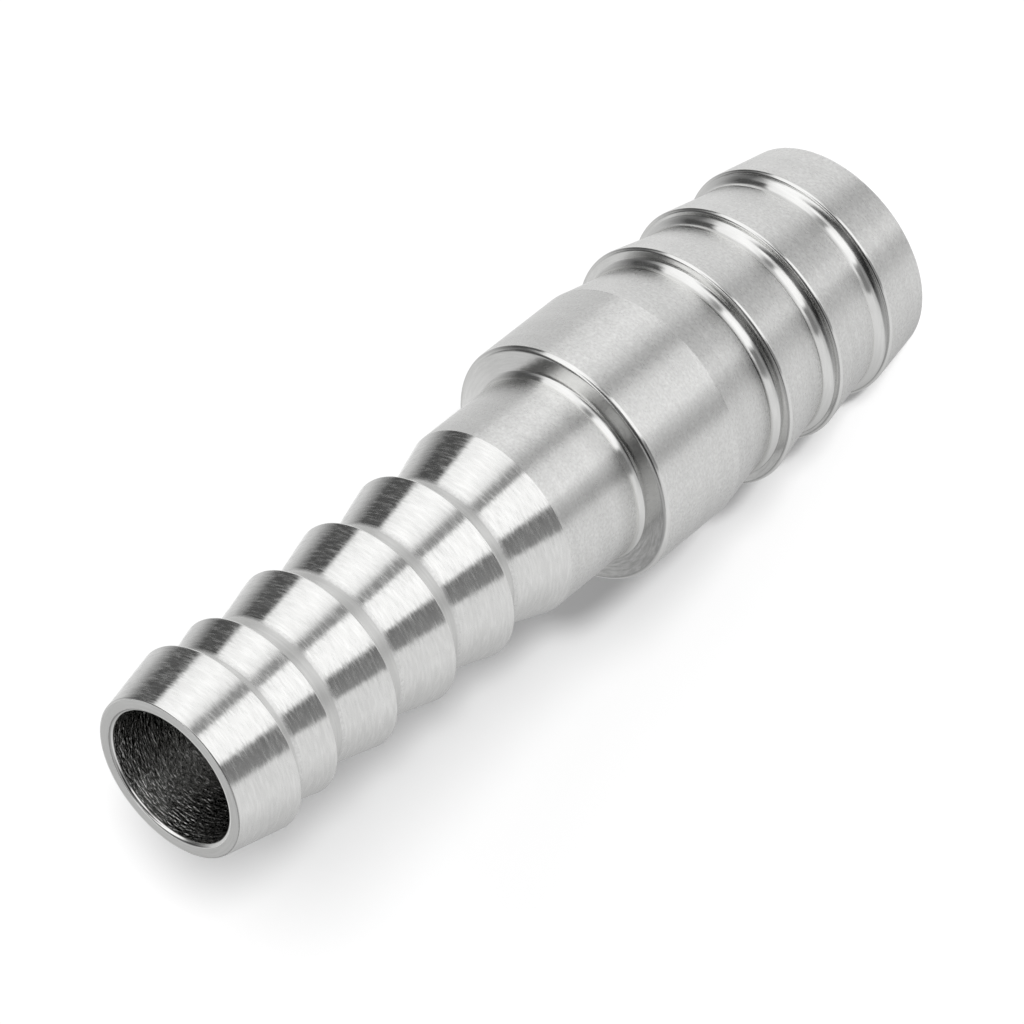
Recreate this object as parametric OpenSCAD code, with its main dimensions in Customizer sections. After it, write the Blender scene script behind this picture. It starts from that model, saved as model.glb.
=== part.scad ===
// Hose barb reducer: a one-piece turned metal fitting that joins a small hose to a larger one.
// It stands on its large end, with its axis on Z and its base at z = 0.
// The small tail carries a short lead barb and a row of barbs that grow up to a plain neck.
// The large tail carries barbs with filleted faces, and a collar parts the two tails.

/* [Small tail] */
// Outside diameter of the tip
tip_d = 9.9; // [9.6:0.1:10.6]
// Crest diameter of the lead barb
lead_crest_d = 11.5; // [11:0.1:12.2]
// Length of the lead barb's cone
lead_l = 3.85; // [3:0.05:5]
// Diameter of the groove behind the lead barb
lead_root_d = 9.8; // [9.3:0.1:10.2]
// Width of the groove behind the lead barb
lead_groove_w = 0.9; // [0.5:0.05:1.4]
// Length of the cone that follows that groove
second_l = 2.2; // [1.6:0.05:3]
// Crest diameter of the second barb
first_crest_d = 11; // [10.4:0.05:11.4]
// Number of barbs behind the lead barb
small_barbs = 5; // [3:1:7]
// Distance from crest to crest
small_pitch = 4.62; // [3.8:0.01:6]
// Diameter of the grooves between the barbs
small_root_d = 9.5; // [8.9:0.05:9.9]
// Width of the grooves between the barbs
small_groove_w = 1.3; // [0.8:0.05:2]
// Width of the narrow land on each crest
crest_land = 0.08; // [0.04:0.01:0.2]
// Radius in the grooves' corners under the crests
groove_r = 0.2; // [0.05:0.05:0.4]

/* [Neck and collar] */
// Diameter of the plain neck, which the last small barb runs into
neck_d = 11.65; // [11.4:0.05:12.2]
// Length of the neck from the last crest to the shoulder
neck_l = 6.07; // [4:0.01:10]
// Radius of the fillet between neck and shoulder
shoulder_r = 0.55; // [0.2:0.05:1.2]
// Diameter of the collar
collar_d = 14.9; // [14.4:0.1:16]
// Length of the collar
collar_l = 6.25; // [4.5:0.05:10]
// Edge break at the shoulder
shoulder_break = 0.3; // [0.1:0.05:0.4]

/* [Large tail] */
// Crest diameter of the large barb beside the collar
large_crest_d = 15.4; // [14.9:0.05:16.5]
// How much smaller each next crest is
large_crest_drop = 0.3; // [0:0.05:0.4]
// Number of large barbs
large_barbs = 3; // [2:1:5]
// Distance from barb face to barb face
large_pitch = 4.65; // [3.8:0.05:6]
// Length of the taper between the collar and the first large barb
run_out_l = 4.2; // [3:0.1:6]
// Diameter at the foot of each large barb's face
large_root_d = 13.3; // [12.9:0.1:13.8]
// Radius of the fillet at the foot of each face
foot_r = 0.5; // [0.2:0.05:0.7]
// Edge break on the crests of the large barbs
large_break = 0.15; // [0.05:0.05:0.3]
// Length of the last barb's cone
end_l = 3.75; // [3:0.05:5]
// Outside diameter of the large end
end_d = 13.55; // [13.2:0.05:14]

/* [Bores] */
// Bore of the small end
small_bore_d = 8.2; // [6:0.1:8.4]
// Bore of the large end
large_bore_d = 11; // [9:0.1:11.6]
// How far the large bore runs in past the collar's end
bore_overrun = 1.75; // [0.5:0.05:2.5]
// Angle of the cone where the bores meet, as a drill leaves it
point_angle = 118; // [90:1:140]
// Edge break at the mouth of the small bore
small_mouth_break = 0.15; // [0.05:0.05:0.3]
// Edge break at the mouth of the large bore
large_mouth_break = 0.2; // [0.05:0.05:0.4]
// Edge break round the outside of both ends
end_break = 0.1; // [0.05:0.05:0.2]

/* [Hidden] */
STEEL = [0.78, 0.78, 0.77];
FILLET_STEPS = 8;

// Distances below run from the tip down to the large end
second_crest_at = lead_l + lead_groove_w + second_l;
neck_at = second_crest_at + (small_barbs - 1) * small_pitch;
shoulder_at = neck_at + neck_l;
collar_end_at = shoulder_at + collar_l;
first_face_at = collar_end_at + run_out_l;
last_face_at = first_face_at + (large_barbs - 1) * large_pitch;
total_l = last_face_at + end_l;
large_bore_l = total_l - collar_end_at + bore_overrun;
point_l = (large_bore_d - small_bore_d) / 2 / tan(point_angle / 2);

// Crests of the small barbs grow evenly up to the neck
function small_crest_d(i) = first_crest_d + (neck_d - first_crest_d) * i / (small_barbs - 1);

// Crests of the large barbs shrink evenly towards the large end
function large_crest(i) = large_crest_d - i * large_crest_drop;

// A corner of the outline: its diameter, its distance from the tip, its rounding and the arc's steps
function at(d, down, r = 0, steps = 1) = [d / 2, total_l - down, r, steps];

// The groove and the cone behind the lead barb, then a groove and a cone for each further barb
function small_tail() = [
    at(tip_d, 0, end_break),
    at(lead_crest_d, lead_l - crest_land),
    at(lead_crest_d, lead_l),
    at(lead_root_d, lead_l, groove_r, 3),
    at(lead_root_d, lead_l + lead_groove_w),
    for (i = [0:small_barbs - 2])
        let (crest = second_crest_at + i * small_pitch, d = small_crest_d(i))
        each [
            at(d, crest - crest_land),
            at(d, crest),
            at(small_root_d, crest, groove_r, 3),
            at(small_root_d, crest + small_groove_w)
        ]
];

// The plain neck, the filleted shoulder and the collar
function middle() = [
    at(neck_d, neck_at),
    at(neck_d, shoulder_at, min(shoulder_r, (collar_d - neck_d) / 2 - 2 * shoulder_break), FILLET_STEPS),
    at(collar_d, shoulder_at, shoulder_break),
    at(collar_d, collar_end_at)
];

// Each large barb is a filleted face, a crest with a broken edge, and a cone down to the next foot
function large_tail() = [
    for (i = [0:large_barbs - 1])
        let (face = first_face_at + i * large_pitch, wall = (large_crest(i) - large_root_d) / 2)
        each [
            at(large_root_d, face, min(foot_r, 0.6 * wall), FILLET_STEPS),
            at(large_crest(i), face, min(large_break, 0.2 * wall))
        ],
    at(end_d, total_l, end_break)
];

// Both bores, with the drill's cone between them
function bores() = [
    at(large_bore_d, total_l, large_mouth_break),
    at(large_bore_d, total_l - large_bore_l),
    at(small_bore_d, total_l - large_bore_l - point_l),
    at(small_bore_d, 0, small_mouth_break)
];

function unit(v) = v / norm(v);
function flat(v) = [v[0], v[1]];

// The arc that rounds the corner at p between its neighbours a and b; one step makes a chamfer
function rounded(a, p, b, r, steps) =
    let (
        u = unit(a - p),
        w = unit(b - p),
        half = acos(u * w) / 2,
        centre = p + unit(u + w) * r / sin(half),
        from = p + u * r / tan(half) - centre,
        to = p + w * r / tan(half) - centre,
        start = atan2(from[1], from[0]),
        swing = atan2(to[1], to[0]) - start,
        turn = swing > 180 ? swing - 360 : swing < -180 ? swing + 360 : swing
    )
    [for (i = [0:steps]) centre + r * [cos(start + turn * i / steps), sin(start + turn * i / steps)]];

// The outline with its corners rounded
function outline(v) = [
    for (i = [0:len(v) - 1])
        let (
            before = flat(v[(i + len(v) - 1) % len(v)]),
            here = flat(v[i]),
            after = flat(v[(i + 1) % len(v)])
        )
        each v[i][2] == 0 ? [here] : rounded(before, here, after, v[i][2], v[i][3])
];

module reducer_body() {
    color(STEEL)
        rotate_extrude($fn = 180)
            polygon(outline(concat(small_tail(), middle(), large_tail(), bores())));
}

reducer_body();
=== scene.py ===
import math

import bpy
from mathutils import Matrix, Vector


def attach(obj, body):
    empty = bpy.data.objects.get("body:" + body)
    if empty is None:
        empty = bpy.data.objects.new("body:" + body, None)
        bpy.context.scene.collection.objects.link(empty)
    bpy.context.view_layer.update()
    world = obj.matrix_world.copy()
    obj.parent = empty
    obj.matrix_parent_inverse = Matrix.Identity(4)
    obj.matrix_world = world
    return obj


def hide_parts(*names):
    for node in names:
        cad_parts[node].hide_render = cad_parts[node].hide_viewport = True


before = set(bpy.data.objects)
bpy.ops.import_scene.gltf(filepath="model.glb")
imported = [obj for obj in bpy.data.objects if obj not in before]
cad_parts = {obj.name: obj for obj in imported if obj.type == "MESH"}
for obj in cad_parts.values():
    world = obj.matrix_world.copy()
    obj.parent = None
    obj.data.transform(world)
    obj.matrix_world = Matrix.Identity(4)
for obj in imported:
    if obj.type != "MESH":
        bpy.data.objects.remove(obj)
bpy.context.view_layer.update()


# The camera: a long lens well back from the fitting and above it, turned on its own axis until the standing
# fitting runs across the picture from the small end, lower left, to the large end, upper right.
LENS = 210.94
DISTANCE = 0.3255
ELEVATION = math.radians(33.71)
ROLL = math.radians(-128.69)
AIM = Vector((-0.00038, 0.0, 0.0279))
ASIDE, ALOFT = -0.000092, 0.000011

forward = Vector((0, math.cos(ELEVATION), -math.sin(ELEVATION)))
level = Vector((1, 0, 0))
upright = level.cross(forward)
right = math.cos(ROLL) * level + math.sin(ROLL) * upright
up = math.cos(ROLL) * upright - math.sin(ROLL) * level
aim = AIM + ASIDE * right + ALOFT * up
eye = aim - DISTANCE * forward

camera = bpy.data.objects.new("camera", bpy.data.cameras.new("camera"))
camera.data.sensor_width = 36
camera.data.lens = LENS
camera.data.clip_start = 0.01
camera.matrix_world = Matrix((
    (right.x, up.x, -forward.x, eye.x),
    (right.y, up.y, -forward.y, eye.y),
    (right.z, up.z, -forward.z, eye.z),
    (0, 0, 0, 1),
))
bpy.context.scene.collection.objects.link(camera)
bpy.context.scene.camera = camera


# The body: one bar of steel turned on a lathe, with two barbed tails, a plain neck, a collar and a stepped
# bore. The tools leave the small barbs and the filleted faces bright, the neck, collar and large barbs
# satin, the grooves and end faces matt, and the drilled bores rough. The bores' colour is darkened below
# the other steels as painted shade, standing in for the shade deep inside them.
MM = 0.001
TIP_D, LEAD_CREST_D, LEAD_L, LEAD_ROOT_D, LEAD_GROOVE_W = 9.9, 11.5, 3.85, 9.8, 0.9
SECOND_L, FIRST_CREST_D, SMALL_BARBS, SMALL_PITCH = 2.2, 11.0, 5, 4.62
SMALL_ROOT_D, SMALL_GROOVE_W, CREST_LAND, GROOVE_R = 9.5, 1.3, 0.08, 0.2
NECK_D, NECK_L, COLLAR_D, COLLAR_L, SHOULDER_BREAK = 11.65, 6.07, 14.9, 6.25, 0.3
LARGE_CREST_D, LARGE_CREST_DROP, LARGE_BARBS, LARGE_PITCH, RUN_OUT_L = 15.4, 0.3, 3, 4.65, 4.2
LARGE_BREAK, END_L, END_D = 0.2, 3.75, 13.55
SMALL_BORE_D, LARGE_BORE_D, BORE_OVERRUN, POINT_ANGLE = 8.2, 11.0, 1.75, 118
SMALL_MOUTH_BREAK, LARGE_MOUTH_BREAK, END_BREAK = 0.22, 0.2, 0.1

SECOND_CREST_AT = LEAD_L + LEAD_GROOVE_W + SECOND_L
NECK_AT = SECOND_CREST_AT + (SMALL_BARBS - 1) * SMALL_PITCH
SHOULDER_AT = NECK_AT + NECK_L
COLLAR_END_AT = SHOULDER_AT + COLLAR_L
FIRST_FACE_AT = COLLAR_END_AT + RUN_OUT_L
TOTAL_L = FIRST_FACE_AT + (LARGE_BARBS - 1) * LARGE_PITCH + END_L
LARGE_BORE_L = TOTAL_L - COLLAR_END_AT + BORE_OVERRUN
POINT_L = (LARGE_BORE_D - SMALL_BORE_D) / 2 / math.tan(math.radians(POINT_ANGLE / 2))

# Roundings that the tools leave by themselves, and the fine notch where the collar ends
CREST_R, GROOVE_END_R, NOTCH = 0.045, 0.9, 0.012
# The shoulder and the large faces lean a little towards their rims, and each rises out of a wide flare that
# ends in a tight corner
SHOULDER_LEAN, FACE_LEAN, FOOT_CORNER_R = math.tan(math.radians(9)), math.tan(math.radians(5)), 0.08
SHOULDER_FOOT, SHOULDER_FLARE, SHOULDER_FLARE_R = 0.4, 0.238, 0.75
FACE_FOOT_DS, FACE_FLARE_D, FACE_FLARE, FACE_FLARE_R = (14.03, 14.29, 14.36), 13.42, 0.32, 0.79

# Steps of each kind of arc, sides of the turned body, and how closely its rings follow each other
CREST_STEPS, GROOVE_STEPS, GROOVE_END_STEPS, EDGE_STEPS = 4, 8, 6, 5
SHOULDER_FLARE_STEPS, SHOULDER_EDGE_STEPS, FACE_FLARE_STEPS, CORNER_STEPS, FACE_EDGE_STEPS = 14, 8, 16, 5, 7
SIDES, RING_GAP, SUPPORT = 144, 0.3, 0.02

# Finishes, numbered as the outline stores them
BRIGHT, MATT, SATIN, FILLET, BORE = range(5)


def at(d, down, run, r=0.0, steps=1, arc=FILLET):
    """A corner: its diameter, its distance down from the tip and the finish after it, then the radius,
    steps and finish of the arc that rounds it."""
    return Vector((d / 2, TOTAL_L - down)), run, r, steps, arc


# The corners run up the small bore, over the tip, down the outside to the large end and up the large bore
corners = [
    at(SMALL_BORE_D, TOTAL_L - LARGE_BORE_L - POINT_L, BORE),
    at(SMALL_BORE_D, 0, MATT, SMALL_MOUTH_BREAK, EDGE_STEPS),
    at(TIP_D, 0, BRIGHT, END_BREAK, EDGE_STEPS),
    at(LEAD_CREST_D, LEAD_L - CREST_LAND, BRIGHT),
    at(LEAD_CREST_D, LEAD_L, MATT, CREST_R, CREST_STEPS, BRIGHT),
    at(LEAD_ROOT_D, LEAD_L, MATT, GROOVE_R, GROOVE_STEPS, MATT),
    at(LEAD_ROOT_D, LEAD_L + LEAD_GROOVE_W, BRIGHT, GROOVE_END_R, GROOVE_END_STEPS, SATIN),
]
for i in range(SMALL_BARBS - 1):
    crest_at = SECOND_CREST_AT + i * SMALL_PITCH
    crest_d = FIRST_CREST_D + (NECK_D - FIRST_CREST_D) * i / (SMALL_BARBS - 1)
    corners += [
        at(crest_d, crest_at - CREST_LAND, BRIGHT),
        at(crest_d, crest_at, MATT, CREST_R, CREST_STEPS, BRIGHT),
        at(SMALL_ROOT_D, crest_at, MATT, GROOVE_R, GROOVE_STEPS, MATT),
        at(SMALL_ROOT_D, crest_at + SMALL_GROOVE_W, BRIGHT, GROOVE_END_R, GROOVE_END_STEPS, SATIN),
    ]
lean = SHOULDER_LEAN * (COLLAR_D - NECK_D - SHOULDER_FOOT) / 4
corners += [
    at(NECK_D, NECK_AT, SATIN),
    at(NECK_D, SHOULDER_AT - lean - SHOULDER_FLARE, FILLET, SHOULDER_FLARE_R, SHOULDER_FLARE_STEPS),
    at(NECK_D + SHOULDER_FOOT, SHOULDER_AT - lean, FILLET, FOOT_CORNER_R, CORNER_STEPS),
    at(COLLAR_D, SHOULDER_AT, SATIN, SHOULDER_BREAK, SHOULDER_EDGE_STEPS),
    at(COLLAR_D, COLLAR_END_AT - NOTCH, SATIN),
    at(COLLAR_D - 2 * NOTCH, COLLAR_END_AT, SATIN),
    at(COLLAR_D - NOTCH, COLLAR_END_AT + NOTCH, SATIN),
]
for i in range(LARGE_BARBS):
    face_at = FIRST_FACE_AT + i * LARGE_PITCH
    crest_d = LARGE_CREST_D - i * LARGE_CREST_DROP
    lean = FACE_LEAN * (crest_d - FACE_FOOT_DS[i]) / 4
    corners += [
        at(FACE_FLARE_D, face_at - lean - FACE_FLARE, FILLET, FACE_FLARE_R, FACE_FLARE_STEPS),
        at(FACE_FOOT_DS[i], face_at - lean, FILLET, FOOT_CORNER_R, CORNER_STEPS),
        at(crest_d, face_at, SATIN, LARGE_BREAK, FACE_EDGE_STEPS),
    ]
corners += [
    at(END_D, TOTAL_L, MATT, END_BREAK, EDGE_STEPS),
    at(LARGE_BORE_D, TOTAL_L, BORE, LARGE_MOUTH_BREAK, EDGE_STEPS),
    at(LARGE_BORE_D, TOTAL_L - LARGE_BORE_L, BORE),
]


def rounded(before, here, after, r, steps):
    """The points of the arc that rounds the corner here."""
    if r == 0:
        return [here]
    u = (before - here).normalized()
    w = (after - here).normalized()
    half = math.acos(u.dot(w)) / 2
    centre = here + (u + w).normalized() * (r / math.sin(half))
    start = here + u * (r / math.tan(half)) - centre
    end = here + w * (r / math.tan(half)) - centre
    first = math.atan2(start.y, start.x)
    swing = (math.atan2(end.y, end.x) - first + math.pi) % (2 * math.pi) - math.pi
    turns = [first + swing * k / steps for k in range(steps + 1)]
    return [centre + r * Vector((math.cos(t), math.sin(t))) for t in turns]


def straight(a, b):
    """Points between a and b: one close to each end, to hold the corner, and the rest evenly spaced."""
    length = (b - a).length
    if length < 4 * SUPPORT:
        return []
    inner = length - 2 * SUPPORT
    count = max(1, round(inner / RING_GAP))
    return [a + (b - a) * ((SUPPORT + inner * k / count) / length) for k in range(count + 1)]


# Each point of the outline is kept with the finish of the surface that starts at it
outline = []
arcs = []
for k, (here, run, r, steps, arc) in enumerate(corners):
    arcs.append(rounded(corners[k - 1][0], here, corners[(k + 1) % len(corners)][0], r, steps))
for k, (here, run, r, steps, arc) in enumerate(corners):
    outline += [(p, arc) for p in arcs[k][:-1]]
    outline += [(p, run) for p in [arcs[k][-1]] + straight(arcs[k][-1], arcs[(k + 1) % len(corners)][0])]

profile = bpy.data.meshes.new("reducer_outline")
profile.from_pydata(
    [(p.x * MM, 0, p.y * MM) for p, finish in outline],
    [(k, k + 1) for k in range(len(outline) - 1)],
    [],
)
along = [0.0]
for (p, finish), (q, other) in zip(outline, outline[1:]):
    along.append(along[-1] + (q - p).length * MM)
profile.attributes.new("along", "FLOAT", "POINT").data.foreach_set("value", along)
profile.attributes.new("finish", "INT", "POINT").data.foreach_set("value", [f for p, f in outline])


class Wire:
    """An output socket in a node tree. Arithmetic on it adds Math nodes, and node() adds any other node."""

    def __init__(self, tree, socket=None):
        self.tree = tree
        self.socket = socket

    def node(self, kind, settings=None, inputs=None, output=0):
        made = self.tree.nodes.new(kind)
        for name, value in (settings or {}).items():
            if name == "stops":
                ramp = made.color_ramp
                while len(ramp.elements) < len(value):
                    ramp.elements.new(1)
                for element, (place, shade) in zip(ramp.elements, value):
                    element.position = place
                    element.color = (shade, shade, shade, 1)
            else:
                setattr(made, name, value)
        for name, value in (inputs or {}).items():
            if isinstance(value, Wire):
                self.tree.links.new(value.socket, made.inputs[name])
            else:
                made.inputs[name].default_value = value
        return Wire(self.tree, made.outputs[output]) if made.outputs else made

    def math(self, operation, *values):
        return self.node("ShaderNodeMath", {"operation": operation}, dict(enumerate(values)))

    def __add__(self, other):
        return self.math("ADD", self, other)

    __radd__ = __add__

    def __sub__(self, other):
        return self.math("SUBTRACT", self, other)

    def __rsub__(self, other):
        return self.math("SUBTRACT", other, self)

    def __mul__(self, other):
        return self.math("MULTIPLY", self, other)

    __rmul__ = __mul__

    def __truediv__(self, other):
        return self.math("DIVIDE", self, other)

    def __rtruediv__(self, other):
        return self.math("DIVIDE", other, self)


# Marks are noise that is short along the outline (pitch) and long round it (reach), each with its own seed
FINE_SEED, FINE_SHARE, DARKEST_SPOT = 3.0, 0.7, 0.41
COARSE_PITCH, COARSE_REACH, COARSE_SEED, COARSE_WEAR = 0.0006, 0.010, 7.0, 0.3
TILT_PITCH, TILT_REACH, TILT_SEED = 0.00010, 0.0009, 11.0
SCRATCH_PITCH, SCRATCH_REACH, SCRATCH_SEED, FIRST_SCRATCH, FULL_SCRATCH = 0.00012, 0.0007, 19.0, 0.42, 0.68
GRAIN, DARKER, LIGHTER, QUARTER_TURN = 0.1, 0.85, 1.15, 0.25


def steel(name, colour, roughness, stretch, pitch, reach, depth, wander, streak, dash):
    """A turned steel finish. Stretch draws its glints out along the axis, depth is the relief of the tool's
    rings, wander tilts them by chance, streak varies their tone, and dash roughens short scratches."""
    material = bpy.data.materials.new(name)
    material.use_nodes = True
    tree = material.node_tree
    tree.nodes.clear()
    start = Wire(tree)
    place = start.node("ShaderNodeTexCoord", output="Object")
    x = start.node("ShaderNodeSeparateXYZ", None, {0: place})
    y = Wire(tree, x.socket.node.outputs[1])
    ring = start.node("ShaderNodeAttribute", {"attribute_name": "along"}, None, "Fac")

    def marks(pitch, reach, seed, detail=3.0):
        parts = {0: x / reach + seed, 1: y / reach, 2: ring / pitch}
        spot = start.node("ShaderNodeCombineXYZ", None, parts)
        return start.node("ShaderNodeTexNoise", None, {"Vector": spot, "Scale": 1.0, "Detail": detail})

    fine = marks(pitch, reach, FINE_SEED, 2.0)
    coarse = marks(COARSE_PITCH, COARSE_REACH, COARSE_SEED, 2.0)
    height = fine * FINE_SHARE + coarse * (1 - FINE_SHARE)
    relief = start.node("ShaderNodeBump", None, {"Strength": 1.0, "Distance": depth, "Height": height})
    round_way = start.node("ShaderNodeVectorMath", {"operation": "CROSS_PRODUCT"}, {0: (0, 0, 1), 1: place})
    round_way = start.node("ShaderNodeVectorMath", {"operation": "NORMALIZE"}, {0: round_way})
    tilt = (marks(TILT_PITCH, TILT_REACH, TILT_SEED) - 0.5) * wander
    tilted = start.node("ShaderNodeVectorMath", {"operation": "SCALE"}, {0: round_way, "Scale": tilt})
    normal = start.node("ShaderNodeVectorMath", {"operation": "ADD"}, {0: relief, 1: tilted})
    normal = start.node("ShaderNodeVectorMath", {"operation": "NORMALIZE"}, {0: normal})
    scratches = marks(SCRATCH_PITCH, SCRATCH_REACH, SCRATCH_SEED)
    ends = {"Value": scratches, "From Min": FIRST_SCRATCH, "From Max": FULL_SCRATCH}
    scratch = start.node("ShaderNodeMapRange", None, ends)
    rough = roughness + scratch * dash + (fine - 0.5) * GRAIN
    spots = start.math("MAXIMUM", fine, DARKEST_SPOT)
    worn = (spots - 0.5) * streak + (coarse - 0.5) * (streak * COARSE_WEAR) + 0.5
    dark = [c * DARKER for c in colour] + [1]
    light = [min(1, c * LIGHTER) for c in colour] + [1]
    mix = {"data_type": "RGBA", "clamp_factor": True}
    tone = start.node("ShaderNodeMix", mix, {"Factor": worn, 6: dark, 7: light}, 2)
    surface = start.node(
        "ShaderNodeBsdfPrincipled",
        None,
        {
            "Base Color": tone,
            "Metallic": 1.0,
            "Roughness": rough,
            "Normal": normal,
            "Anisotropic": stretch,
            "Anisotropic Rotation": QUARTER_TURN,
        },
    )
    start.node("ShaderNodeOutputMaterial", None, {"Surface": surface})
    return material


finishes = [
    steel(
        "bright_turned_barbs", colour=(0.80, 0.80, 0.79), roughness=0.14, stretch=0.8,
        pitch=0.00014, reach=0.0010, depth=0.000002, wander=0.05, streak=1.1, dash=0.16,
    ),
    steel(
        "matt_grooves_and_ends", colour=(0.7, 0.7, 0.69), roughness=0.38, stretch=0.4,
        pitch=0.00012, reach=0.002, depth=0.000004, wander=0.08, streak=1.2, dash=0.0,
    ),
    steel(
        "satin_neck_collar_and_large_barbs", colour=(0.79, 0.79, 0.78), roughness=0.29, stretch=0.85,
        pitch=0.00014, reach=0.0002, depth=0.0000007, wander=0.05, streak=1.8, dash=0.0,
    ),
    steel(
        "bright_fillets_and_faces", colour=(0.80, 0.80, 0.79), roughness=0.13, stretch=0.7,
        pitch=0.00014, reach=0.0012, depth=0.000003, wander=0.04, streak=0.6, dash=0.08,
    ),
    # The bore's colour is painted shade: it is darker than the other steels to stand in for the shade
    # inside the bores.
    steel(
        "drilled_bore_painted_shade", colour=(0.55, 0.55, 0.54), roughness=0.2, stretch=0.3,
        pitch=0.00012, reach=0.0004, depth=0.00012, wander=0.6, streak=2.0, dash=0.0,
    ),
]

# The lathe wraps a sheet, with one row for each point of the outline, round the axis and closes its seams.
# Edges past the crease angle stay sharp, and the nudge keeps a whole number from rounding down.
CREASE_ANGLE, SEAM, NUDGE = math.radians(24), 0.000001, 0.0001
lathe = bpy.data.node_groups.new("turn_outline", "GeometryNodeTree")


def lathe_input(name, kind):
    """A named input of the lathe."""
    return lathe.interface.new_socket(name, in_out="INPUT", socket_type="NodeSocket" + kind)


lathe_input("Outline", "Geometry")
sockets = {"Sides": lathe_input("Sides", "Int"), "Crease": lathe_input("Crease", "Float")}
for finish in finishes:
    sockets[finish.name] = lathe_input(finish.name, "Material")
lathe.interface.new_socket("Body", in_out="OUTPUT", socket_type="NodeSocketGeometry")

given = lathe.nodes.new("NodeGroupInput")
start = Wire(lathe)
turned = Wire(lathe, given.outputs["Outline"])
sides = Wire(lathe, given.outputs["Sides"])
count = start.node(
    "GeometryNodeAttributeDomainSize", {"component": "MESH"}, {"Geometry": turned}, "Point Count"
)
sheet = start.node(
    "GeometryNodeMeshGrid",
    None,
    {"Size X": 1.0, "Size Y": 1.0, "Vertices X": count + 1, "Vertices Y": sides + 1},
)
index = start.node("GeometryNodeInputIndex")


def from_outline(kind, value, ring):
    """The outline's own value at the given point."""
    return start.node(
        "GeometryNodeSampleIndex",
        {"data_type": kind, "domain": "POINT"},
        {"Geometry": turned, "Value": value, "Index": ring},
    )


row = start.math("FLOOR", index / (sides + 1) + NUDGE)
column = index - row * (sides + 1)
ring = start.math("MODULO", row, count)
spot = from_outline("FLOAT_VECTOR", start.node("GeometryNodeInputPosition"), ring)
radius = start.node("ShaderNodeSeparateXYZ", None, {0: spot})
z = Wire(lathe, radius.socket.node.outputs[2])
angle = column / sides * (2 * math.pi)
across = radius * start.math("COSINE", angle)
beside = radius * start.math("SINE", angle)
swept = start.node("ShaderNodeCombineXYZ", None, {0: across, 1: beside, 2: z})
shape = start.node("GeometryNodeSetPosition", None, {"Geometry": sheet, "Position": swept})
stored = start.node("GeometryNodeInputNamedAttribute", {"data_type": "FLOAT"}, {"Name": "along"})
shape = start.node(
    "GeometryNodeStoreNamedAttribute",
    {"data_type": "FLOAT", "domain": "POINT"},
    {"Geometry": shape, "Name": "along", "Value": from_outline("FLOAT", stored, ring)},
)
stored = start.node("GeometryNodeInputNamedAttribute", {"data_type": "INT"}, {"Name": "finish"})
band = start.math("FLOOR", index / sides + NUDGE)
shape = start.node(
    "GeometryNodeStoreNamedAttribute",
    {"data_type": "INT", "domain": "FACE"},
    {"Geometry": shape, "Name": "finish", "Value": from_outline("INT", stored, band)},
)
shape = start.node("GeometryNodeMergeByDistance", None, {"Geometry": shape, "Distance": SEAM})
shape = start.node(
    "GeometryNodeSetShadeSmooth", {"domain": "FACE"}, {"Geometry": shape, "Shade Smooth": True}
)
bend = start.node("GeometryNodeInputMeshEdgeAngle")
sharp = start.math("GREATER_THAN", bend, Wire(lathe, given.outputs["Crease"]))
shape = start.node(
    "GeometryNodeSetShadeSmooth",
    {"domain": "EDGE"},
    {"Geometry": shape, "Selection": sharp, "Shade Smooth": False},
)
shape = start.node("GeometryNodeRealizeInstances", None, {"Geometry": shape})
for k, finish in enumerate(finishes):
    kept = start.node("GeometryNodeInputNamedAttribute", {"data_type": "INT"}, {"Name": "finish"})
    chosen = start.node("FunctionNodeCompare", {"data_type": "INT", "operation": "EQUAL"}, {2: kept, 3: k})
    shape = start.node(
        "GeometryNodeSetMaterial",
        None,
        {"Geometry": shape, "Selection": chosen, "Material": Wire(lathe, given.outputs[finish.name])},
    )
start.node("NodeGroupOutput", None, {"Body": shape})

blank = bpy.data.objects.new("outline", profile)
bpy.context.scene.collection.objects.link(blank)
turning = blank.modifiers.new("turning", "NODES")
turning.node_group = lathe
turning[sockets["Sides"].identifier] = SIDES
turning[sockets["Crease"].identifier] = CREASE_ANGLE
for finish in finishes:
    turning[sockets[finish.name].identifier] = finish
bpy.context.view_layer.update()
done = bpy.data.meshes.new_from_object(blank.evaluated_get(bpy.context.evaluated_depsgraph_get()))
done.name = "turned_body"
if done.materials[0] is None:
    done.materials.pop(index=0)
bpy.data.objects.remove(blank)
body = bpy.data.objects.new("turned_body", done)
bpy.context.scene.collection.objects.link(body)
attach(body, "root")
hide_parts("reducer_body")


# The studio: a plain pale floor that the fitting stands on, three soft lamps from the camera's side, whose
# shadows fall together, and a tent of pale panels with gaps between them, which only the metal mirrors.
FLOOR_REACH, FLOOR_Z = 3.0, -0.00002
FLOOR_COLOUR = 0.95
# How far the floor that the camera sees is lifted to white, and how bright the room is to matt surfaces
GLOW, AMBIENT = 0.03, 0.3
# Each lamp: degrees aside from the camera, degrees up, its width in degrees, its strength
LAMPS = [
    ("near_lamp", 1.8, 28.6, 2.5, 2.7),
    ("far_lamp", 5.0, 30.3, 6, 1.9),
    ("wide_lamp", 14, 32, 14, 0.5),
]

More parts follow.
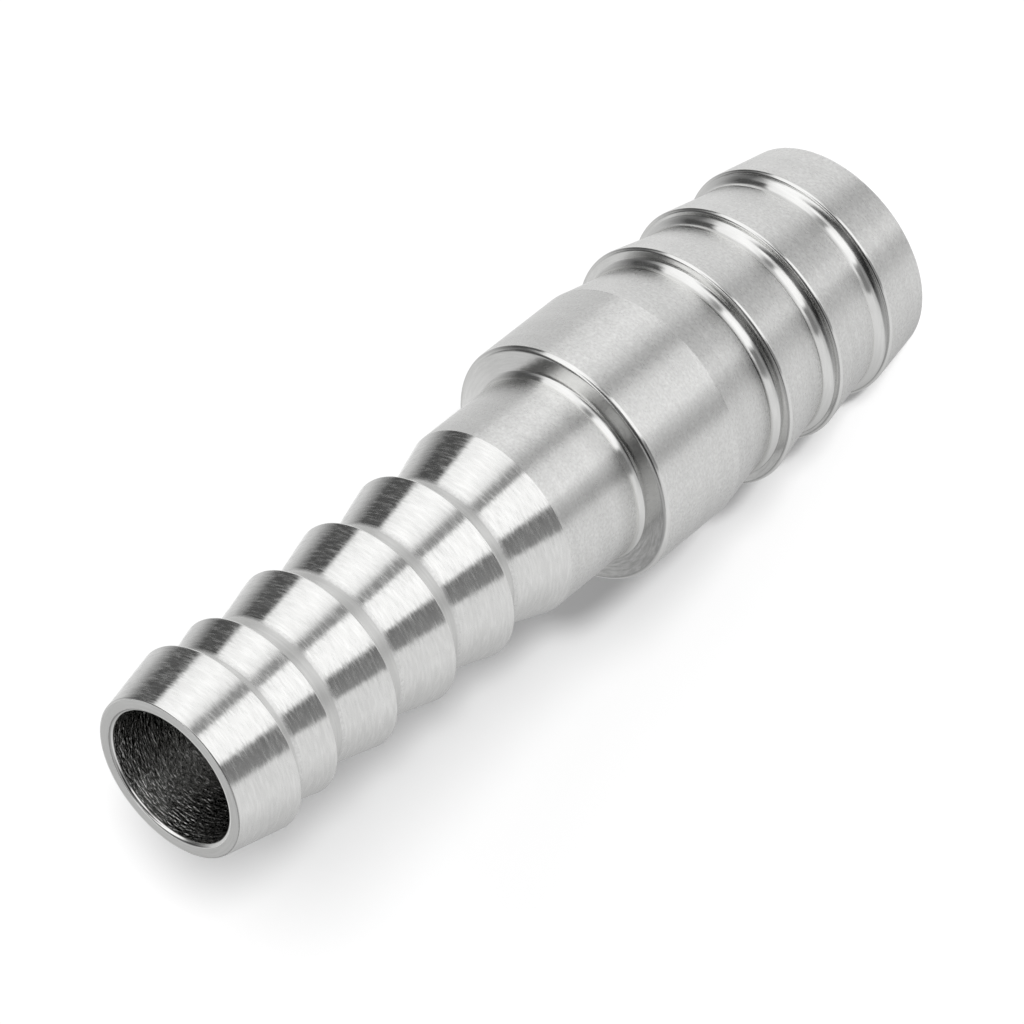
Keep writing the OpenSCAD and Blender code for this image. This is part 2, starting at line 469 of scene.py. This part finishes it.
floor_mesh = bpy.data.meshes.new("floor")
floor_mesh.from_pydata(
    [(sx * FLOOR_REACH, sy * FLOOR_REACH, FLOOR_Z) for sx, sy in ((-1, -1), (1, -1), (1, 1), (-1, 1))],
    [],
    [(0, 1, 2, 3)],
)
floor = bpy.data.objects.new("floor", floor_mesh)
bpy.context.scene.collection.objects.link(floor)
floor.visible_glossy = False
floor_paint = bpy.data.materials.new("pale_floor")
floor_paint.use_nodes = True
floor_paint.node_tree.nodes.clear()
start = Wire(floor_paint.node_tree)
seen = start.node("ShaderNodeLightPath", output="Is Camera Ray")
matt = start.node("ShaderNodeBsdfDiffuse", None, {"Color": [FLOOR_COLOUR] * 3 + [1]})
white = start.node("ShaderNodeEmission", None, {"Color": (1, 1, 1, 1), "Strength": 1.0})
both = start.node("ShaderNodeMixShader", None, {0: seen * GLOW, 1: matt, 2: white})
start.node("ShaderNodeOutputMaterial", None, {"Surface": both})
floor_mesh.materials.append(floor_paint)

for name, aside, rise, size, power in LAMPS:
    lamp = bpy.data.objects.new(name, bpy.data.lights.new(name, "SUN"))
    lamp.data.energy = power
    lamp.data.angle = math.radians(size)
    lamp.visible_glossy = False
    flat = math.cos(math.radians(rise))
    toward = Vector((
        flat * math.sin(math.radians(aside)),
        -flat * math.cos(math.radians(aside)),
        math.sin(math.radians(rise)),
    ))
    lamp.rotation_euler = toward.to_track_quat("Z", "Y").to_euler()
    bpy.context.scene.collection.objects.link(lamp)

world = bpy.data.worlds.new("tent")
world.use_nodes = True
world.node_tree.nodes.clear()
world.cycles.sampling_method = "NONE"
bpy.context.scene.world = world
start = Wire(world.node_tree)
way = start.node("ShaderNodeTexCoord", output="Generated")
way_x = start.node("ShaderNodeSeparateXYZ", None, {0: way})
way_y = Wire(world.node_tree, way_x.socket.node.outputs[1])
way_z = Wire(world.node_tree, way_x.socket.node.outputs[2])
bearing = start.math("ARCTAN2", -1 * way_x, -1 * way_y) * (0.5 / math.pi) + 0.5


def panels(*stops):
    """Brightness round the tent, by bearing in degrees from the camera's side."""
    return start.node(
        "ShaderNodeValToRGB",
        {"stops": [(0.5 + degrees / 360, shade) for degrees, shade in stops]},
        {"Fac": bearing},
    )


bottom = panels(
    (-180, 1.1), (-165, 1.05), (-140, 1.0), (-110, 0.85), (-80, 0.74), (-60, 0.75), (-46, 0.68),
    (-36, 0.45), (-20, 0.47), (0, 0.52), (12, 0.7), (24, 0.86), (30, 0.75), (36, 0.5), (48, 0.46),
    (58, 0.74), (90, 0.79), (120, 0.66), (150, 0.55), (172, 0.5), (180, 0.8),
)
low = panels(
    (-180, 1.3), (-168, 1.0), (-155, 0.8), (-140, 0.84), (-120, 0.84), (-100, 0.78), (-88, 0.7),
    (-76, 0.74), (-60, 0.88), (-44, 0.74), (-36, 0.52), (-24, 0.48), (-15, 0.66), (-8, 0.9), (0, 0.92),
    (24, 1.0), (32, 0.95), (40, 0.6), (48, 0.5), (58, 0.8), (72, 0.8), (90, 0.8), (120, 0.68),
    (150, 0.5), (172, 0.41), (180, 0.78),
)
high = panels(
    (-180, 0.62), (-163, 0.66), (-150, 0.64), (-138, 0.56), (-122, 0.26), (-112, 0.08), (-86, 0.09),
    (-80, 1.05), (-55, 1.2), (-44, 1.15), (-35, 0.98), (-27, 0.32), (-19, 0.3), (-15, 1.15), (0, 1.2),
    (21, 1.15), (26, 0.18), (49, 0.25), (54, 0.8), (90, 0.8), (120, 0.63), (150, 0.52), (172, 0.5),
    (180, 0.7),
)
upper = panels(
    (-180, 1.2), (-172, 0.68), (-150, 0.7), (-135, 0.5), (-120, 0.2), (-104, 0.14), (-92, 0.4),
    (-84, 1.0), (-76, 1.15), (-55, 1.2), (-31, 1.15), (-24, 0.75), (-16, 0.8), (-12, 1.1), (0, 1.2),
    (16, 1.15), (24, 0.35), (46, 0.3), (56, 0.62), (80, 0.78), (100, 0.78), (120, 0.68), (150, 0.45),
    (166, 0.28), (174, 0.28), (180, 1.2),
)
top = panels(
    (-180, 0.9), (-172, 0.58), (-160, 0.45), (-150, 0.1), (-120, 0.06), (-106, 0.12), (-97, 0.6),
    (-88, 1.2), (-60, 1.2), (-50, 0.7), (-42, 0.15), (-28, 0.06), (-14, 0.1), (0, 0.2), (14, 0.1),
    (28, 0.04), (43, 0.02), (57, 0.03), (66, 0.12), (76, 0.25), (90, 0.36), (110, 0.44), (150, 0.34),
    (173, 0.24), (180, 0.9),
)

# Each ring takes over from the one under it between these heights of a direction, from -1 to 1
RINGS = [(low, -0.75, -0.6), (high, -0.5, -0.3), (upper, 0.15, 0.3), (top, 0.48, 0.6)]
tent = bottom
for panel_ring, low_edge, high_edge in RINGS:
    share = start.node(
        "ShaderNodeMapRange",
        {"interpolation_type": "SMOOTHSTEP"},
        {"Value": way_z, "From Min": low_edge, "From Max": high_edge},
    )
    tent = start.node("ShaderNodeMix", {"data_type": "RGBA"}, {"Factor": share, 6: tent, 7: panel_ring}, 2)
seen = start.node("ShaderNodeLightPath", output="Is Camera Ray")
glossy = Wire(world.node_tree, seen.socket.node.outputs["Is Glossy Ray"])
plain = AMBIENT + seen * (1 - AMBIENT)
plain_grey = start.node("ShaderNodeCombineColor", None, {0: plain, 1: plain, 2: plain})
shown = start.node("ShaderNodeMix", {"data_type": "RGBA"}, {"Factor": glossy, 6: plain_grey, 7: tent}, 2)
sky = start.node("ShaderNodeBackground", None, {"Color": shown, "Strength": 1.0})
start.node("ShaderNodeOutputWorld", None, {"Surface": sky})

bpy.context.scene.view_settings.view_transform = "Standard"
